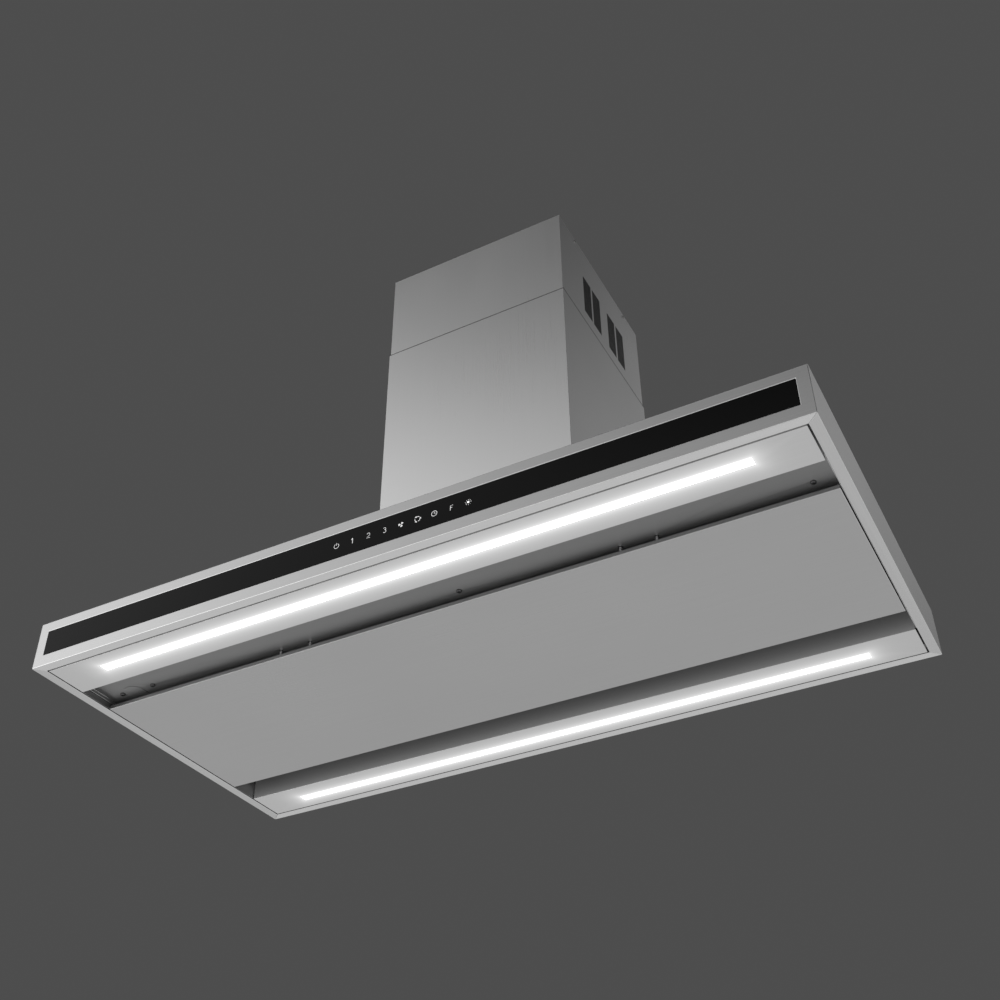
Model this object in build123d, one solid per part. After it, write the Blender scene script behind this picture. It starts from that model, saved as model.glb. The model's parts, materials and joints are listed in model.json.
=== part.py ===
from build123d import *
import math
import os

# Island range hood. Every function below works in the hood's own frame: millimetres,
# origin at the centre of the body's bottom face, +X along the length, +Y to the rear,
# +Z up. The finished nodes are then moved so that the origin lies on the flue's axis
# at the ceiling, where the hood hangs.

# ---- driving dimensions -----------------------------------------------------------
body_length = 1200.0
body_depth = 610.0
body_height = 77.0
total_height = 710.0
sheet = 1.2
flange = 15.0
groove = 2.5
mitre_gap = 0.05

flue_x = 67.0
lower_flue_width = 322.0
upper_flue_width = 319.0
stand_z = body_height - sheet
flue_sheet = 1.0
flue_joint_z = 533.0
flue_overlap = 60.0

vent_length = 30.0
vent_slot = 2.4
vent_pitch = 4.4
vent_rows = 19
vent_middle_z = 602.0
vent_middle_y = 7.0
vent_pair_reach = 48.5
vent_column_reach = 18.0

glass_length = 1165.2
glass_low = 19.5
glass_high = 60.1
glass_thickness = 4.0
glass_recess = 0.2
glass_fit = 0.4
carrier_wall = 1.5
board_left = -85.0
board_right = 175.0
board_thickness = 1.6

panel_front = -155.0
panel_rear = 161.0
slot_outer = 216.0
led_length = 1012.0
led_width = 15.6
led_middle = 255.8
diffuser_thickness = 3.0

ceiling_low = 48.0
skirt_y = 144.0
frame_low = 15.5
frame_fit = 0.2
end_flange_low = 10.5
bay_wall_x = -503.0
thread_gap = 0.05
clip_width = 18.0
spacer_radius = 5.0
screw_length = 6.0
front_screw_xs = (-553.0, -494.0, 48.0, 553.0)
front_screw_y = -162.5
rear_screw_xs = (-549.5, -300.0, 300.0, 549.5)
rear_screw_z = 38.6
screw_radius = 2.0
screw_hole_radius = 2.1
cover_x = -531.5
cover_y = -160.0
cover_radius = 16.5
cover_sheet = 0.8
filter_middle_x = 38.0
filter_length = 534.0
filter_pitch = 538.0
filter_depth = 280.0
filter_low = 16.0
filter_high = 34.0

panel_upstand = 6.0
hinge_y = 150.0
hinge_z = 9.0
hinge_xs = (-420.0, 0.0, 420.0)
hinge_pin_radius = 1.5
hinge_arm_x = 12.0
knuckle_radius = 3.0
stud_radius = 2.2
stud_y = -149.0
stud_spread = 26.0
stud_top = 30.0
stud_hole_radius = 3.5
socket_radius = 4.9
socket_top = 36.0
socket_bore = 3.1

box_width = 272.0
box_low = stand_z
box_high = 350.0
upright_corner = 157.0
upright_leg = 20.0
upright_sheet = 2.0
lower_upright_top = 440.0
upper_upright_low = 376.0
plate_half = 155.0
plate_opening = 200.0
plate_thickness = 3.0
ceiling_bolt_spacing = 240.0
ceiling_bolt_radius = 4.5
flue_screw_y = 100.0
flue_screw_z = total_height - 8.0
flue_screw_radius = 1.5

fan_x = flue_x - 54.0
fan_z = 205.0
fan_half_width = 75.0
fan_sheet = 1.5
scroll_radius = 78.0
scroll_step = 8.0
outlet_inner_x = 6.0
outlet_top = 310.0
impeller_radius = 68.0
impeller_inner = 56.0
impeller_half_width = 62.0
blade_count = 36
inlet_radius = 58.0
motor_radius = 42.0
motor_near = -14.0
motor_far = -68.0
shaft_radius = 4.0
shaft_clearance = 0.05

electronics_left = -578.0
electronics_right = -507.0
electronics_half_y = 125.0
electronics_high = 68.0
electronics_wall = 2.5

gland_x = -148.0
gland_y = 60.0
cable_notch = 7.0
gland_height = 14.0
gland_bore = 4.0

spigot_radius = 74.5
spigot_wall = 1.5
spigot_high = 405.0
flap_z = 364.2
flap_radius = 72.0
flap_pin_x = 4.0
flap_pin_radius = 1.25


# ---- helpers ------------------------------------------------------------------------
def corners():
    """Signs of the four corners in plan."""
    return [(sx, sy) for sx in (-1, 1) for sy in (-1, 1)]


def slab(x, y, z):
    """Box between pairs of coordinates along each axis."""
    size = [pair[1] - pair[0] for pair in (x, y, z)]
    middle = [(pair[0] + pair[1]) / 2 for pair in (x, y, z)]
    return Pos(*middle) * Box(*size)


def centred(half_x, half_y, z, at=(0.0, 0.0)):
    """Upright box centred on a point in plan."""
    x = (at[0] - half_x, at[0] + half_x)
    y = (at[1] - half_y, at[1] + half_y)
    return slab(x, y, z)


def rod(start, end, radius):
    """Round bar between two points."""
    axis = Vector(*end) - Vector(*start)
    plane = Plane(origin=start, z_dir=axis)
    return plane * Cylinder(radius, axis.length, align=(Align.CENTER, Align.CENTER, Align.MIN))


def upright_disc(radius, z, at=(0.0, 0.0)):
    """Upright cylinder between two heights."""
    return rod((at[0], at[1], z[0]), (at[0], at[1], z[1]), radius)


def pan_screw(at, direction, shank=10.0, head_radius=4.0, shank_radius=2.0):
    """Pan-head screw whose head sits on a face at a point, outward along direction."""
    head_height = head_radius * 0.6
    plane = Plane(origin=at, z_dir=direction)
    up = (Align.CENTER, Align.CENTER, Align.MIN)
    down = (Align.CENTER, Align.CENTER, Align.MAX)
    head = Cylinder(head_radius, head_height, align=up)
    head = fillet(head.edges().group_by(Axis.Z)[-1], head_height * 0.6)
    slot = head_radius * 0.3
    cross = Box(head_radius * 1.1, slot, slot * 2) + Box(slot, head_radius * 1.1, slot * 2)
    head -= Pos(0, 0, head_height) * cross
    return plane * (head + Cylinder(shank_radius, shank, align=down))


def group(pieces):
    """Several separate solids kept in one node."""
    return Compound(children=list(pieces))


# ---- body shell -----------------------------------------------------------------------
def shell_ring():
    """Folded sheet rim: four walls with an inward flange above and below."""
    half_x = body_length / 2
    half_y = body_depth / 2
    ring = centred(half_x, half_y, (0, body_height))
    ring -= centred(half_x - sheet, half_y - sheet, (sheet, body_height - sheet))
    return ring - centred(half_x - flange, half_y - flange, (-1, body_height + 1))


def side_sector(points):
    """Prism in plan that picks one mitred side out of the rim."""
    height = body_height + 2
    outline = make_face(Polyline(*points, close=True))
    return Pos(0, 0, -1) * extrude(outline, height)


def mitred_side(side):
    """One side of the rim, cut at 45 degrees where it meets its neighbours."""
    half_x = body_length / 2
    half_y = body_depth / 2
    gap = mitre_gap
    if side in ("front", "rear"):
        sign = -1 if side == "front" else 1
        points = [(-half_x + gap, sign * half_y), (half_x - gap, sign * half_y),
                  (half_x - half_y - gap, 0), (-half_x + half_y + gap, 0)]
    else:
        sign = -1 if side == "left" else 1
        points = [(sign * half_x, -half_y + gap), (sign * half_x, half_y - gap),
                  (sign * (half_x - half_y + gap), 0)]
    return shell_ring() & side_sector(points)


def front_fascia():
    """Front side with the long window for the control glass."""
    half_glass = glass_length / 2 + glass_fit
    low = glass_low - glass_fit
    high = glass_high + glass_fit
    window = slab((-half_glass, half_glass), (-body_depth, -body_depth / 2 + flange - 1), (low, high))
    return mitred_side("front") - window


def control_glass():
    """Black glass strip, nearly flush in the front window."""
    face = -body_depth / 2 + glass_recess
    half = glass_length / 2
    strip = slab((-half, half), (face, face + glass_thickness), (glass_low, glass_high))
    return chamfer(strip.faces().sort_by(Axis.Y)[0].edges(), 0.4)


def glass_carrier():
    """Channel behind the fascia that clamps the glass and holds the touch board."""
    back = -body_depth / 2 + glass_recess + glass_thickness
    half = glass_length / 2
    reach = 6.0
    plate = slab((-half, half), (back, back + carrier_wall), (glass_low - reach, glass_high + reach))
    window = slab((board_left + 5, board_right - 5), (back - 1, back + carrier_wall + 1),
                  (glass_low + reach, glass_high - reach))
    lip = (back, back + 6.0)
    lip_low = slab((-half, half), lip, (glass_low - reach - carrier_wall, glass_low - reach))
    lip_high = slab((-half, half), lip, (glass_high + reach, glass_high + reach + carrier_wall))
    return plate - window + lip_low + lip_high


def touch_board():
    """Circuit board with one sensing pad behind each of nine symbols."""
    face = -body_depth / 2 + glass_recess + glass_thickness + carrier_wall
    back = face + board_thickness
    middle_z = (glass_low + glass_high) / 2
    board = slab((board_left, board_right), (face, back), (middle_z - 17, middle_z + 17))
    chip = slab((30, 52), (back, back + 2.4), (middle_z - 8, middle_z + 8))
    plug = slab((150, 168), (back, back + 7.4), (middle_z - 6, middle_z + 6))
    return board + chip + plug


def top_cover():
    """Top sheet under the upper flange, open below the motor box."""
    half_x = body_length / 2 - sheet - 0.3
    half_y = body_depth / 2 - sheet - 0.3
    high = body_height - sheet
    cover = centred(half_x, half_y, (high - sheet, high))
    inlet = centred(box_width / 2 - 12, box_width / 2 - 12, (high - 9, high + 9), (flue_x, 0))
    cable_hole = upright_disc(gland_bore, (high - 9, high + 9), (flue_x + gland_x, gland_y))
    return cover - inlet - cable_hole


def corner_brackets():
    """Folded angles that tie the mitred sides together inside."""
    brackets = []
    thickness = 2.0
    long_leg = 28.0
    short_leg = 12.0
    z = (8.0, 62.0)
    outer_x = body_length / 2 - sheet
    outer_y = body_depth / 2 - sheet
    for sx, sy in corners():
        wall = slab(sorted((sx * outer_x, sx * (outer_x - thickness))),
                    sorted((sy * outer_y, sy * (outer_y - long_leg))), z)
        foot = slab(sorted((sx * outer_x, sx * (outer_x - short_leg))),
                    sorted((sy * outer_y, sy * (outer_y - thickness))), z)
        brackets.append(wall + foot)
    return group(brackets)


def body_rails():
    """Two long channels between tray and top cover that carry the body."""
    rails = []
    half_length = 580.0
    middle_y = 172.0
    half_width = 12.0
    wall = 1.5
    low = ceiling_low + sheet
    high = body_height - 2 * sheet
    for sign in (-1, 1):
        outer = sign * (middle_y + half_width)
        inner = sign * (middle_y - half_width)
        rail = slab((-half_length, half_length), sorted((outer, inner)), (low, high))
        hollow_y = sorted((outer - sign * wall, inner - sign * wall))
        rail -= slab((-body_length / 2, body_length / 2), hollow_y, (low + wall, high - wall))
        rails.append(rail)
    return group(rails)


# ---- underside -------------------------------------------------------------------------
def inner_tray():
    """Pan above the suction slots: ceiling with the filter well, and two end walls."""
    wall_x = body_length / 2 - flange - 1.0
    half_y = body_depth / 2 - 9.0
    well_y = skirt_y - 10.0
    ceiling = centred(wall_x + sheet, half_y, (ceiling_low, ceiling_low + sheet))
    well = slab((4 - wall_x, wall_x - 12), (-well_y, well_y), (ceiling_low - 5, ceiling_low + 5))
    tray = ceiling - well
    for sign in (-1, 1):
        wall = slab(sorted((sign * wall_x, sign * (wall_x + sheet))),
                    (frame_fit - slot_outer, slot_outer - frame_fit), (sheet + 0.4, ceiling_low))
        tray += wall
    return tray


def frame_spacer(x):
    """Threaded spacer between the front plate of the filter frame and the tray's ceiling."""
    at = (x, front_screw_y)
    spacer = upright_disc(spacer_radius, (frame_low + sheet, ceiling_low), at)
    return spacer - upright_disc(screw_radius + thread_gap, (frame_low, frame_low + screw_length + 1), at)


def rear_clip(x):
    """Threaded clip under the tray's ceiling, behind the rear skirt of the filter frame."""
    half = clip_width / 2
    face = skirt_y - sheet - thread_gap
    clip = slab((x - half, x + half), (face - sheet, face), (rear_screw_z - 2.6, ceiling_low))
    clip += slab((x - half, x + half), (face - 12, face), (ceiling_low - sheet, ceiling_low))
    start = (x, face - 5, rear_screw_z)
    return clip - rod(start, (x, face + 1, rear_screw_z), screw_radius + thread_gap)


def screw_holes(radius):
    """Drill paths of the eight screws that hold the filter frame to the tray."""
    holes = []
    for x in front_screw_xs:
        holes.append(upright_disc(radius, (frame_low - 1, frame_low + 5), (x, front_screw_y)))
    for x in rear_screw_xs:
        start = (x, skirt_y - 5, rear_screw_z)
        holes.append(rod(start, (x, skirt_y + 1, rear_screw_z), radius))
    return holes


def filter_frame():
    """Frame round the filters and the electronics bay, with the plate over the front slot."""
    half_x = body_length / 2 - flange - 2.0
    high = frame_low + sheet
    front = frame_fit - slot_outer
    frame = centred(half_x, skirt_y, (frame_low, ceiling_low))
    frame -= centred(half_x - sheet, skirt_y - sheet, (frame_low - 1, ceiling_low + 1))
    frame += slab((-half_x, bay_wall_x), (-skirt_y, skirt_y), (frame_low, high))
    frame += slab((-half_x, half_x), (front, sheet - skirt_y), (frame_low, high))
    frame += slab((bay_wall_x, bay_wall_x + sheet), (-skirt_y, skirt_y), (frame_low, ceiling_low))
    for sign in (-1, 1):
        end_x = sorted((sign * half_x, sign * (half_x - sheet)))
        frame += slab(end_x, (front, -skirt_y), (end_flange_low, high))
    ledge_low = filter_high + 0.2
    ledge = slab((bay_wall_x, half_x), (-skirt_y, skirt_y), (ledge_low, ledge_low + sheet))
    for sign in (-1, 1):
        ledge -= centred(filter_length / 2 - 12, filter_depth / 2 - 12,
                         (filter_low, ceiling_low), (filter_x(sign), 0))
    frame += ledge
    for x in latch_xs():
        frame -= slab((x - 8.5, x + 8.5), (-skirt_y - 1, -skirt_y + 3),
                      (filter_low + 5.5, filter_low + 10.5))
    for x in stud_xs():
        frame -= upright_disc(stud_hole_radius, (frame_low - 1, high + 1), (x, stud_y))
    return frame - screw_holes(screw_hole_radius)


def filter_frame_screws():
    """Screws with their spacers and clips: four up through the plate, four through the skirt."""
    pieces = []
    head_radius = 4.0
    for x in front_screw_xs:
        at = (x, front_screw_y, frame_low)
        pieces.append(pan_screw(at, (0, 0, -1), screw_length, head_radius, screw_radius))
        pieces.append(frame_spacer(x))
    for x in rear_screw_xs:
        at = (x, skirt_y, rear_screw_z)
        pieces.append(pan_screw(at, (0, 1, 0), screw_length, head_radius, screw_radius))
        pieces.append(rear_clip(x))
    return group(pieces)


def bay_plate():
    """Thin round-fronted cover under the front plate, between its two left screws."""
    z = (frame_low - cover_sheet, frame_low)
    x = (cover_x - cover_radius, cover_x + cover_radius)
    return upright_disc(cover_radius, z, (cover_x, cover_y)) + slab(x, (cover_y, -skirt_y - 0.5), z)


def light_panel(sign):
    """Flat panel with a long window for the light strip and a wall up into the recess."""
    half_x = body_length / 2 - flange - groove
    inner = sign * slot_outer
    outer = sign * (body_depth / 2 - flange - groove)
    panel = slab((-half_x, half_x), sorted((inner, outer)), (0, sheet))
    panel += slab((-half_x, half_x), sorted((inner, inner + sign * sheet)), (0, ceiling_low))
    panel += slab((-half_x, half_x), sorted((outer, outer - sign * sheet)), (0, 14))
    window = centred(led_length / 2 + 0.2, led_width / 2 + 0.2, (-1, 5), (0, sign * led_middle))
    return panel - window


def diffuser(sign):
    """Opal strip filling the window, with a flange that rests on the panel."""
    strip = centred(led_length / 2, led_width / 2, (0, diffuser_thickness), (0, sign * led_middle))
    lip = centred(led_length / 2 + 3, led_width / 2 + 3, (sheet, diffuser_thickness), (0, sign * led_middle))
    return strip + lip


def led_profiles():
    """Aluminium channels over the light strips, which carry the LED boards."""
    profiles = []
    half = led_length / 2 + 6
    width = led_width / 2 + 8
    for sign in (-1, 1):
        profile = centred(half, width, (diffuser_thickness, 20), (0, sign * led_middle))
        profile -= centred(half + 5, width - 2, (diffuser_thickness - 1, 17), (0, sign * led_middle))
        profiles.append(profile)
    return group(profiles)


def led_boards():
    """Boards with their rows of light-emitting diodes facing the diffusers."""
    boards = []
    count = 24
    for sign in (-1, 1):
        board = centred(led_length / 2, led_width / 2, (15.4, 17), (0, sign * led_middle))
        for index in range(count):
            x = (index - (count - 1) / 2) * led_length / count
            board += centred(2.5, 2.5, (14.2, 15.4), (x, sign * led_middle))
        boards.append(board)
    return group(boards)


def suction_panel():
    """Shallow folded panel that hides the filters and leaves the two slots free."""
    half_x = body_length / 2 - flange - groove
    tray = slab((-half_x, half_x), (panel_front, panel_rear), (0, panel_upstand))
    tray -= slab((sheet - half_x, half_x - sheet), (panel_front + sheet, panel_rear - sheet),
                 (sheet, panel_upstand + 1))
    stiffener_half = 14.0
    stiffener_y = (panel_front + 16, hinge_y - 11)
    high = panel_upstand - 1
    for x in (filter_middle_x - 300, filter_middle_x + 300):
        hat = slab((x - stiffener_half, x + stiffener_half), stiffener_y, (sheet, high))
        inside = stiffener_half - sheet
        hat -= slab((x - inside, x + inside), (panel_front, panel_rear), (0, high - sheet))
        tray += hat
    return tray + slab((-half_x, half_x), (panel_front, panel_rear), (0, sheet))


def stud_xs():
    """Places along the length of the four catch studs, two in front of each filter."""
    places = []
    for sign in (-1, 1):
        middle = filter_middle_x + sign * (filter_pitch / 2 + 5)
        places += [middle - stud_spread, middle + stud_spread]
    return places


def panel_studs():
    """Slim studs that stand on the panel and push up into the catch sockets."""
    studs = []
    for x in stud_xs():
        stud = upright_disc(stud_radius, (sheet, stud_top), (x, stud_y))
        studs.append(stud + upright_disc(4.0, (sheet, sheet + 1.5), (x, stud_y)))
    return group(studs)


def catch_sockets():
    """Spring sockets with a foot flange on the front plate, one over each stud."""
    sockets = []
    low = frame_low + sheet
    foot_radius = 8.0
    for x in stud_xs():
        at = (x, stud_y)
        foot = upright_disc(foot_radius, (low, low + 1.5), at)
        foot &= slab((x - foot_radius, x + foot_radius), (stud_y - foot_radius, -skirt_y), (low, low + 2))
        socket = upright_disc(socket_radius, (low, socket_top), at) + foot
        sockets.append(socket - upright_disc(socket_bore, (low - 1, socket_top - 2), at))
    return group(sockets)


def hinge_brackets():
    """Fixed hinge arms from the rear of the skirt down to the panel's axis."""
    brackets = []
    plate_z = (frame_low + 0.5, 26.0)
    arm_half = 1.5
    for x in hinge_xs:
        bracket = slab((x - hinge_arm_x, x + hinge_arm_x), (skirt_y, skirt_y + 1.5), plate_z)
        for side in (-hinge_arm_x, hinge_arm_x):
            near = x + side - arm_half
            far = x + side + arm_half
            bracket += slab((near, far), (skirt_y, hinge_y + 1), (hinge_z, plate_z[1]))
            bracket += rod((near, hinge_y, hinge_z), (far, hinge_y, hinge_z), knuckle_radius)
        reach = hinge_arm_x + 2 * arm_half
        bracket -= rod((x - reach, hinge_y, hinge_z), (x + reach, hinge_y, hinge_z), hinge_pin_radius)
        brackets.append(bracket)
    return group(brackets)


def hinge_pins():
    """Pins held in the fixed arms, on which the panel's leaves turn."""
    pins = []
    reach = hinge_arm_x + 1.5
    for x in hinge_xs:
        pins.append(rod((x - reach, hinge_y, hinge_z), (x + reach, hinge_y, hinge_z), hinge_pin_radius))
    return group(pins)


def hinge_leaves():
    """Moving hinge leaves: a foot on the panel and a knuckle round the pin."""
    leaves = []
    half = hinge_arm_x - 2.0
    thickness = 1.5
    near = hinge_y - knuckle_radius
    for x in hinge_xs:
        knuckle = rod((x - half, hinge_y, hinge_z), (x + half, hinge_y, hinge_z), knuckle_radius)
        web = slab((x - half, x + half), (near, near + thickness), (sheet, hinge_z))
        foot = slab((x - half, x + half), (hinge_y - 22, near + thickness), (sheet, sheet + thickness))
        bore_radius = hinge_pin_radius + shaft_clearance
        bore = rod((x - half - 1, hinge_y, hinge_z), (x + half + 1, hinge_y, hinge_z), bore_radius)
        leaves.append(knuckle + web + foot - bore)
    return group(leaves)


# ---- grease filters ----------------------------------------------------------------------
def filter_x(sign):
    """Middle of the left or right filter along the length."""
    return filter_middle_x + sign * filter_pitch / 2


def latch_xs():
    """Places of the two filter latches along the length."""
    return [filter_x(-1), filter_x(1)]


def filter_rim(sign):
    """Folded aluminium rim of one filter, with a pocket for its latch and two rear pins."""
    at = (filter_x(sign), 0)
    half_x = filter_length / 2
    half_y = filter_depth / 2
    rim = centred(half_x, half_y, (filter_low, filter_high), at)
    rim -= centred(half_x - 1.2, half_y - 1.2, (filter_low + 1.2, filter_high - 1.2), at)
    rim -= centred(half_x - 14, half_y - 14, (filter_low - 1, filter_high + 1), at)
    pocket = slab((at[0] - 22, at[0] + 22), (-half_y, -half_y + 30), (filter_low, filter_high - 2))
    track = slab((at[0] - 9, at[0] + 9), (-half_y - 1, -half_y + 24), (filter_low + 5, filter_low + 11))
    tab_slot = slab((at[0] - 6, at[0] + 6), (-half_y + 6, -half_y + 24), (filter_low - 1, filter_low + 6))
    return rim + pocket - track - tab_slot


def filter_mesh(sign):
    """Pleated aluminium layer that fills the rim."""
    half_x = filter_length / 2 - 14.5
    half_y = filter_depth / 2 - 1.6
    pleats = 22
    low = filter_low + 4
    high = filter_high - 4
    width = 2 * half_y / pleats
    top = []
    for index in range(pleats + 1):
        z = high if index % 2 else low + 1
        top.append((-half_y + index * width, z))
    bottom = [(y, z - 1) for y, z in reversed(top)]
    outline = Plane.YZ * make_face(Polyline(*top, *bottom, close=True))
    sheet_solid = Pos(filter_x(sign) - half_x, 0, 0) * extrude(outline, 2 * half_x)
    pocket = slab((filter_x(sign) - 22.5, filter_x(sign) + 22.5),
                  (-filter_depth, -filter_depth / 2 + 30.5), (0, 60))
    return sheet_solid - pocket


def filter_latch(sign):
    """Sprung bolt that slides into the skirt, with a thumb tab underneath."""
    x = filter_x(sign)
    front = -filter_depth / 2
    bolt = slab((x - 7.5, x + 7.5), (front - 3.6, front + 15), (filter_low + 6, filter_low + 10))
    tab = slab((x - 5, x + 5), (front + 7, front + 12), (filter_low - 2, filter_low + 6))
    return bolt + tab


# ---- electronics -------------------------------------------------------------------------
def electronics_box():
    """Open plastic box in the left bay."""
    low = frame_low + 2.0
    wall = electronics_wall
    y = electronics_half_y
    box = slab((electronics_left, electronics_right), (-y, y), (low, electronics_high))
    return box - slab((electronics_left + wall, electronics_right - wall), (wall - y, y - wall),
                      (low + wall, electronics_high + 1))


def electronics_lid():
    """Lid that closes the box under the top cover."""
    y = electronics_half_y
    high = electronics_high + electronics_wall
    lid = slab((electronics_left, electronics_right), (-y, y), (electronics_high, high))
    return lid - slab((-571, -565), (-105, -99), (electronics_high - 1, high + 1))


def control_board():
    """Power and control board with relays, transformer and connectors."""
    low = frame_low + 9.0
    top = low + board_thickness
    relay_pitch = 22.0
    capacitor_pitch = 30.0
    board = slab((-574, -511), (-60, 118), (low, top))
    transformer = slab((-570, -540), (60, 100), (top, low + 28))
    board += transformer
    for index in range(4):
        y = -50 + index * relay_pitch
        board += slab((-570, -552), (y, y + 15), (top, low + 17))
    for index in range(3):
        board += upright_disc(7, (top, low + 26), (-528, -40 + index * capacitor_pitch))
    for rail_x in (-572, -513):
        board += slab((rail_x - 1, rail_x + 1), (-58, 116), (frame_low + 4.5, low))
    return board


def terminal_block():
    """Three-way mains terminal."""
    low = frame_low + 4.5
    block = slab((-566, -520), (-112, -92), (low, low + 20))
    for index in range(3):
        x = -558 + index * 15
        block -= upright_disc(3, (low + 8, low + 21), (x, -102))
    return block


def cable_gland():
    """Gland on the top cover, inside the flue, where the supply cable enters."""
    at = (flue_x + gland_x, gland_y)
    top = stand_z + gland_height
    gland = upright_disc(8, (stand_z, top), at) + upright_disc(10, (stand_z, stand_z + 4), at)
    return gland - upright_disc(gland_bore, (stand_z - 1, top + 1), at)


def led_driver():
    """Constant-current supply for the two light strips, above the front light panel."""
    driver = slab((-480, -330), (-262, -232), (22, 44))
    ears = slab((-492, -318), (-252, -242), (43, 46))
    return driver + ears


# ---- motor box and blower ------------------------------------------------------------------
def motor_box():
    """Galvanised box, open below to the body and closed above round the spigot."""
    half = box_width / 2
    at = (flue_x, 0)
    box = centred(half, half, (box_low, box_high), at)
    box -= centred(half - sheet, half - sheet, (box_low - 1, box_high - sheet), at)
    box -= upright_disc(spigot_radius - 3, (box_high - 5, box_high + 5), at)
    lip = centred(half, half, (box_low, box_low + sheet), at)
    lip -= centred(half - 12, half - 12, (box_low - 1, box_low + 5), at)
    return box + lip


def scroll_outline(inset):
    """Volute in plan: three growing arcs and a straight throat, as a face in XZ."""
    r1 = scroll_radius - inset
    r2 = scroll_radius + scroll_step - inset
    r3 = scroll_radius + 2 * scroll_step - inset
    step = scroll_step
    right = step + r3
    start = outlet_inner_x + inset
    rise = math.sqrt(r1 ** 2 - start ** 2)
    turn = math.radians(135)
    middle = (r1 * math.cos(turn), r1 * math.sin(turn))
    low_left = (step + r2 * math.cos(math.radians(225)), r2 * math.sin(math.radians(225)))
    low_right = (step + r3 * math.cos(math.radians(315)), step + r3 * math.sin(math.radians(315)))
    top = outlet_top - fan_z
    edges = ThreePointArc((start, rise), middle, (-r1, 0)).edges()
    edges += ThreePointArc((-r1, 0), low_left, (step, -r2)).edges()
    edges += ThreePointArc((step, -r2), low_right, (right, step)).edges()
    edges += Polyline((right, step), (right, top), (start, top), (start, rise)).edges()
    return make_face(edges)


def scroll_solid(inset, low_y, high_y):
    """Volute outline extruded along the fan's axis between two distances."""
    solid = extrude(Plane.XZ * scroll_outline(inset), -(high_y - low_y))
    return Pos(fan_x, low_y, fan_z) * solid


def scroll_band():
    """Curved wall of the fan housing."""
    inner = fan_half_width - fan_sheet
    return scroll_solid(0, -inner, inner) - scroll_solid(fan_sheet, -inner - 1, inner + 1) - throat_cut()


def throat_cut():
    """Opens the top of the fan's throat."""
    z = (outlet_top - 4, outlet_top + 4)
    near = fan_x + outlet_inner_x + fan_sheet
    far = fan_x + scroll_radius + 3 * scroll_step - fan_sheet
    half = fan_half_width - fan_sheet
    return slab((near, far), (-half, half), z)


def scroll_plate(sign):
    """Flat cheek of the fan housing with its round inlet."""
    outer = sign * fan_half_width
    low, high = sorted((outer, outer - sign * fan_sheet))
    inlet = rod((fan_x, low - 2, fan_z), (fan_x, high + 2, fan_z), inlet_radius)
    return scroll_solid(0, low, high) - inlet


def outlet_duct():
    """Neck from the rectangular throat to the round spigot."""
    half_x = (scroll_step + scroll_radius + 2 * scroll_step - outlet_inner_x) / 2
    bottom = Pos(0, 0, outlet_top) * Rectangle(2 * half_x, 2 * fan_half_width)
    top_z = box_high - sheet - 0.2
    top = Pos(0, 0, top_z) * Circle(spigot_radius - 1)
    outer = loft([bottom, top])
    bore_bottom = Pos(0, 0, outlet_top) * Rectangle(2 * half_x - 3, 2 * fan_half_width - 3)
    bore_top = Pos(0, 0, top_z) * Circle(spigot_radius - 2.5)
    return Pos(flue_x, 0, 0) * (outer - loft([bore_bottom, bore_top]))


def blade_outline():
    """Section of one forward-curved blade, in the plane across the fan's axis."""
    inner = impeller_inner
    outer = impeller_radius - 0.5
    middle = (inner + outer) / 2
    thickness = 1.2
    lean = 5.0
    front = ThreePointArc((inner, 0), (middle, 1.2), (outer, lean))
    back = ThreePointArc((outer, lean + thickness), (middle, 1.2 + thickness), (inner, thickness))
    tip = Line((outer, lean), (outer, lean + thickness))
    root = Line((inner, thickness), (inner, 0))
    return make_face(front.edges() + tip.edges() + back.edges() + root.edges())


def impeller():
    """Double-inlet fan wheel: middle disc, hub, end rings and a ring of blades."""
    half = impeller_half_width
    wheel = Cylinder(impeller_radius, 2.0) + Cylinder(12, 16)
    for end in (-half + 1.5, half - 1.5):
        wheel += Pos(0, 0, end) * (Cylinder(impeller_radius, 3.0) - Cylinder(impeller_inner, 4.0))
    blade = Pos(0, 0, -half) * extrude(blade_outline(), 2 * half)
    blades = [Rot(0, 0, index * 360 / blade_count) * blade for index in range(blade_count)]
    wheel = wheel.fuse(*blades) - Cylinder(shaft_radius + shaft_clearance, 40)
    return Pos(fan_x, 0, fan_z) * Rot(90, 0, 0) * wheel


def fan_rod(low_y, high_y, radius):
    """Cylinder on the fan's axis."""
    return rod((fan_x, low_y, fan_z), (fan_x, high_y, fan_z), radius)


def motor_shaft():
    """Steel shaft through the motor to the fan wheel's hub."""
    return fan_rod(motor_far + 1, 12, shaft_radius)


def motor_rotor():
    """Laminated rotor pressed on the shaft."""
    bore = fan_rod(motor_far, 0, shaft_radius + shaft_clearance)
    return fan_rod(motor_far + 16, motor_near - 16, 21) - bore


def motor_stator():
    """Motor casing with stator, open for the rotor, with seats for both bearings."""
    casing = fan_rod(motor_far, motor_near, motor_radius)
    casing -= fan_rod(motor_far + 10, motor_near - 10, 22)
    casing -= fan_rod(motor_far + 2, motor_far + 10, 11)
    casing -= fan_rod(motor_near - 10, motor_near - 2, 11)
    return casing - fan_rod(motor_far - 1, motor_near + 1, 6)


def motor_bearings():
    """Two ball bearings, each shown as its closed ring."""
    rings = []
    for low in (motor_far + 2.5, motor_near - 9.5):
        ring = fan_rod(low, low + 7, 11) - fan_rod(low - 1, low + 8, shaft_radius + shaft_clearance)
        rings.append(ring)
    return group(rings)


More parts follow.
